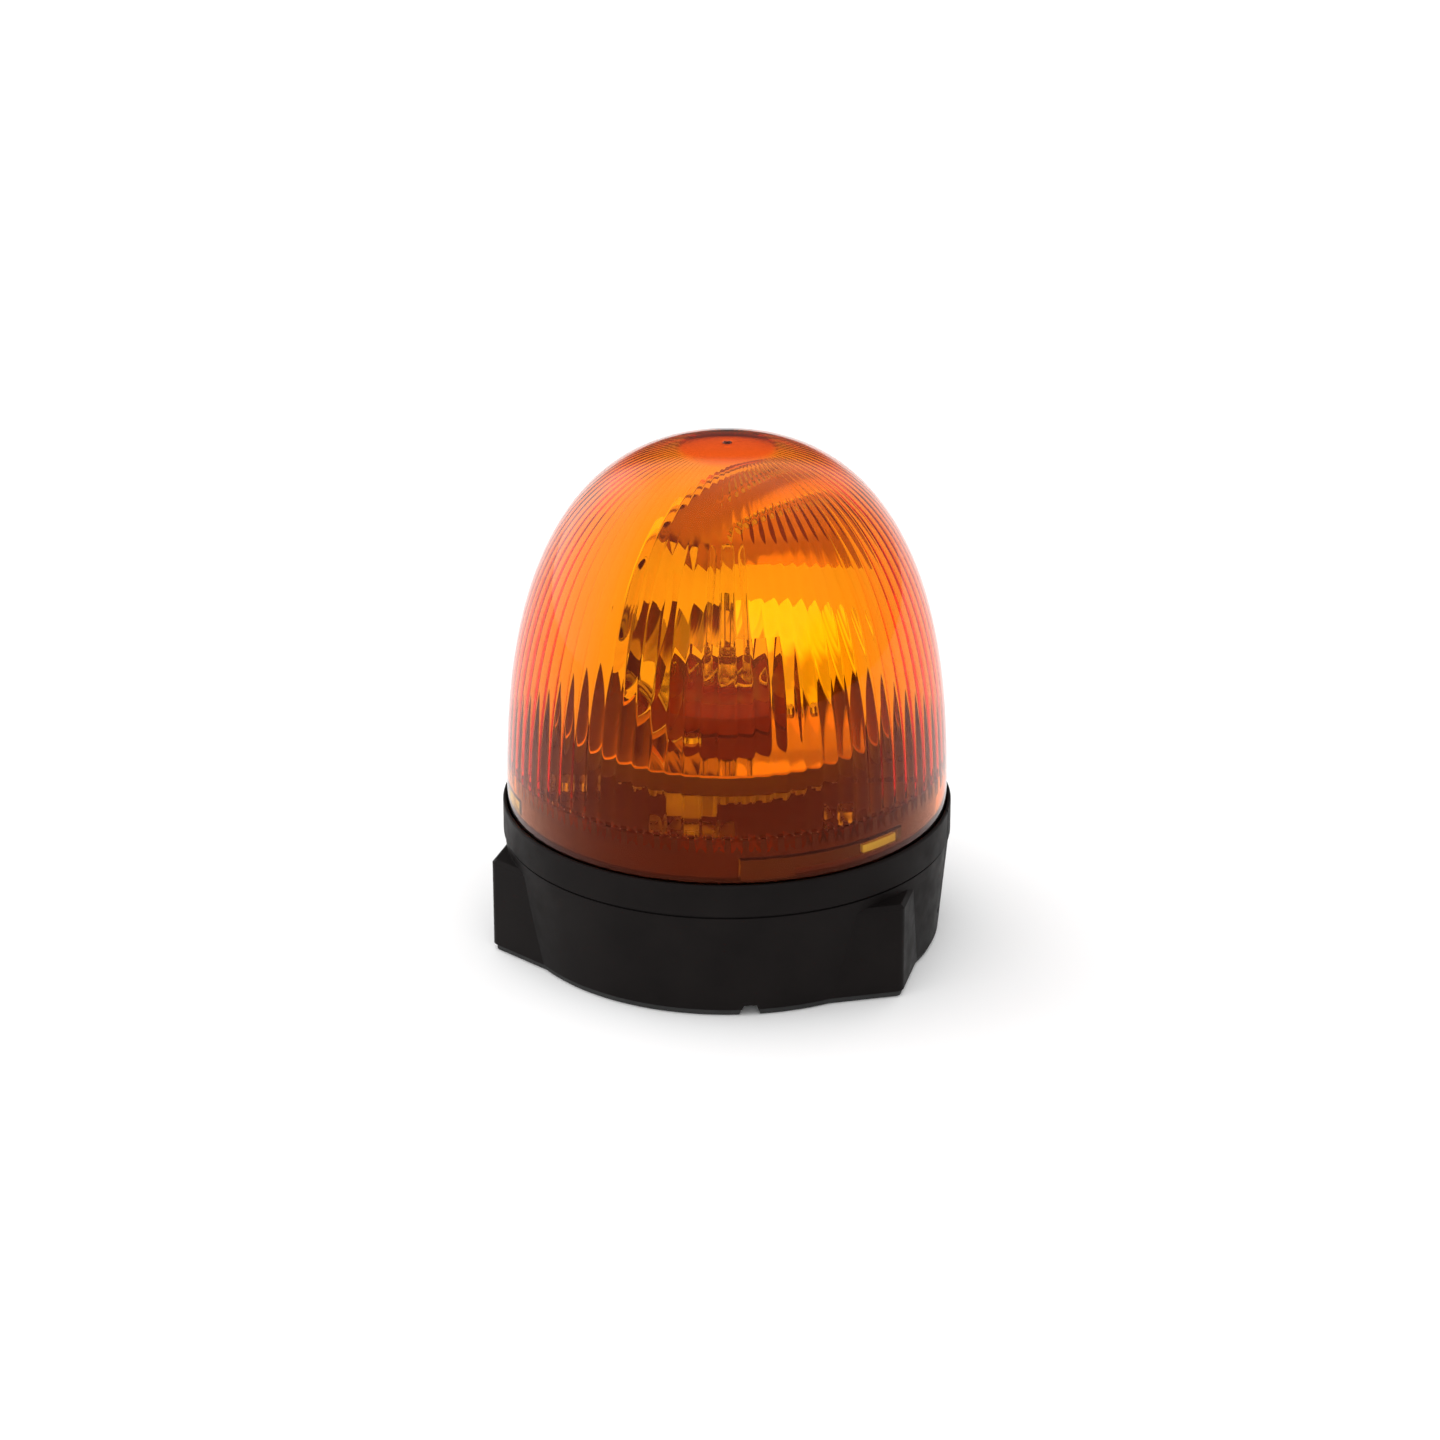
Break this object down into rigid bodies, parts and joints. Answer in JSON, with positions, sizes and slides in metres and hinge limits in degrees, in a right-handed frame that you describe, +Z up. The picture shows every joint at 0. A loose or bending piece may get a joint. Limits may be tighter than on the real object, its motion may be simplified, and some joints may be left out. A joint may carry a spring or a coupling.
{
  "type": "rotating warning beacon",
  "caption": "Amber rotating warning beacon: domed fluted bayonet lens on a round lobed base, with a geared parabolic reflector that turns around a fixed halogen bulb.",
  "frame": {"origin": "centre of the bolt circle on the mounting face, under the gasket", "axes": "+Z up along the rotor axis out of the mounting face, -Y towards the front of the picture, +X to its right"},
  "size_m": [0.1446, 0.1446, 0.1628],
  "materials": {
    "amber_lens": "clear gloss",
    "black_plastic": "fine grained",
    "dark_plastic": "matt",
    "black_rubber": "matt",
    "brass": "plain",
    "zinc_steel": "zinc plated",
    "motor_steel": "plated",
    "nylon": "satin",
    "chrome_mirror": "mirror bright",
    "bronze": "sintered",
    "brown_phenolic": "matt",
    "cap_steel": "bright",
    "clear_glass": "clear",
    "tungsten": "dull",
    "white_plastic": "satin",
    "red_lead": "satin",
    "blue_lead": "satin"
  },
  "bodies": {
    "base": {"base_housing": "black_plastic", "mounting_gasket": "black_rubber", "fixing_inserts": "brass", "bottom_plate": "dark_plastic", "plate_screws": "zinc_steel", "cable_grommet": "black_rubber", "lens_seal": "black_rubber", "bayonet_lugs": "nylon", "chassis_deck": "dark_plastic", "damping_bushes": "black_rubber", "deck_screws": "zinc_steel", "motor_can": "motor_steel", "motor_cap": "dark_plastic", "motor_terminals": "brass", "motor_screws": "zinc_steel", "lamp_post": "dark_plastic", "post_screws": "zinc_steel", "thrust_washer": "nylon", "bulb_socket": "brown_phenolic", "bulb_cap": "cap_steel", "bulb_glass": "clear_glass", "bulb_filament": "tungsten", "bulb_blade": "brass", "bulb_clip": "zinc_steel", "terminal_block": "white_plastic", "terminal_screws": "brass", "motor_lead": "red_lead", "lamp_lead": "blue_lead"},
    "lens": {"lens_dome": "amber_lens"},
    "rotor": {"turntable_gear": "nylon", "turntable_bush": "bronze", "reflector": "chrome_mirror", "reflector_screws": "zinc_steel"},
    "pinion": {"motor_shaft": "motor_steel", "drive_pinion": "nylon"}
  },
  "joints": [
    {"name": "lens_twist", "type": "hinge", "parent": "base", "child": "lens", "pos_m": [0, 0, 0.0453], "axis": [0, 0, 1], "range_deg": [0, 34]},
    {"name": "rotor_spin", "type": "hinge", "parent": "base", "child": "rotor", "pos_m": [0, 0, 0.062], "axis": [0, 0, 1], "continuous": true},
    {"name": "pinion_spin", "type": "hinge", "parent": "base", "child": "pinion", "pos_m": [-0.01089, -0.04063, 0.06], "axis": [0, 0, 1], "continuous": true}
  ],
  "couplings": [
    {"joint": "pinion_spin", "follows": "rotor_spin", "ratio": -6}
  ]
}
